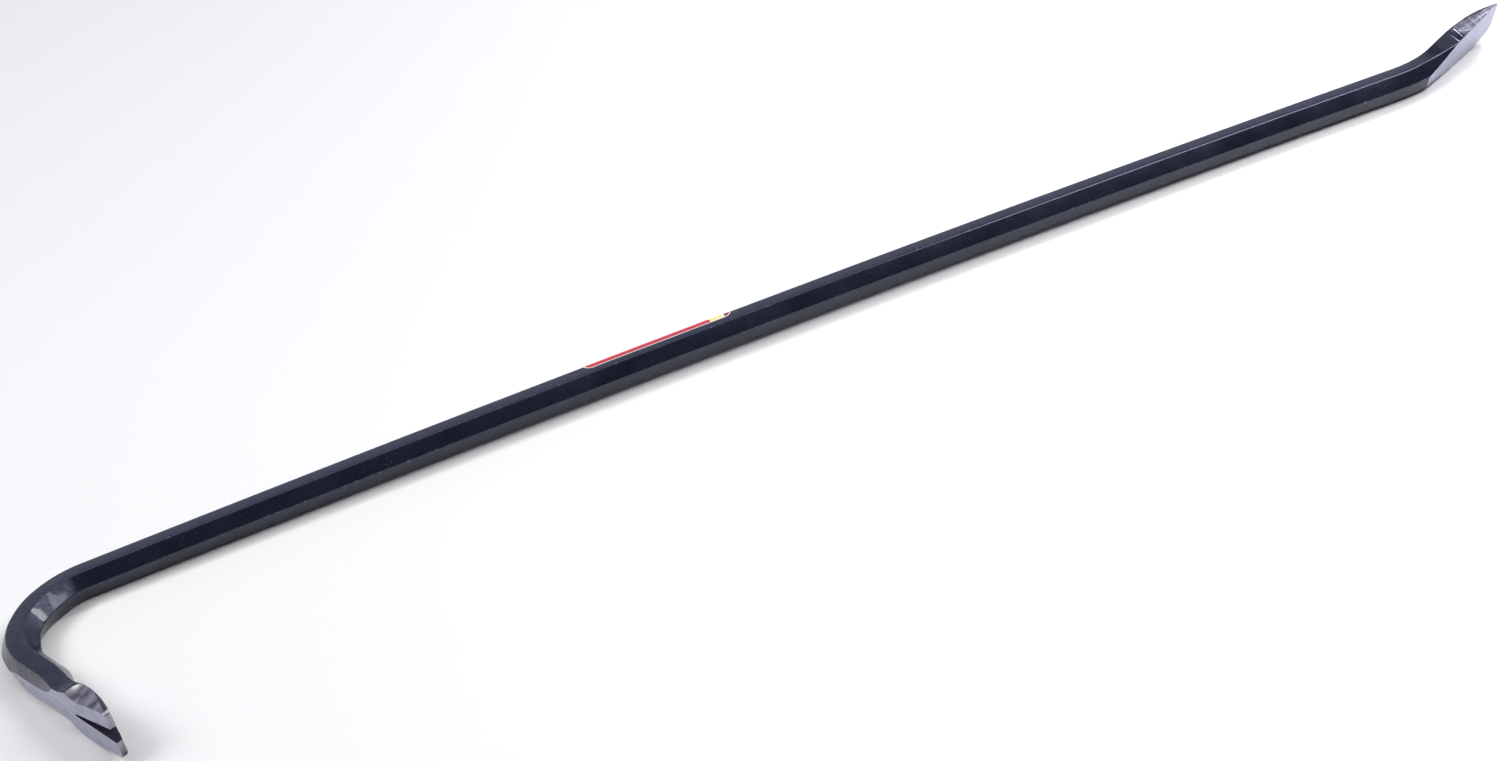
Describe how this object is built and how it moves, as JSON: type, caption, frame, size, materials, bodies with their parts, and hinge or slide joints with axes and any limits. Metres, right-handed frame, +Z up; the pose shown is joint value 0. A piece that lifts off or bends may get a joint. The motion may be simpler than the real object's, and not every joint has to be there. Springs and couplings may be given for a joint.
{
  "type": "pry bar",
  "caption": "Gooseneck pry bar forged from hexagon steel, with a slotted nail-pulling claw on the hooked end, a flared ground chisel on the other, and a printed label",
  "frame": {"origin": "The middle of the bar's footprint, on the surface that it lies on", "axes": "X runs along the shaft towards the chisel, -Y is the side the hook reaches to, and Z is up with the bar lying on its side"},
  "size_m": [0.9152, 0.1492, 0.034],
  "materials": {
    "navy_black_enamel": "gloss enamel",
    "printed_label": "gloss printed film"
  },
  "bodies": {
    "root": {"forged_bar": "navy_black_enamel", "label": "printed_label"}
  },
  "joints": []
}
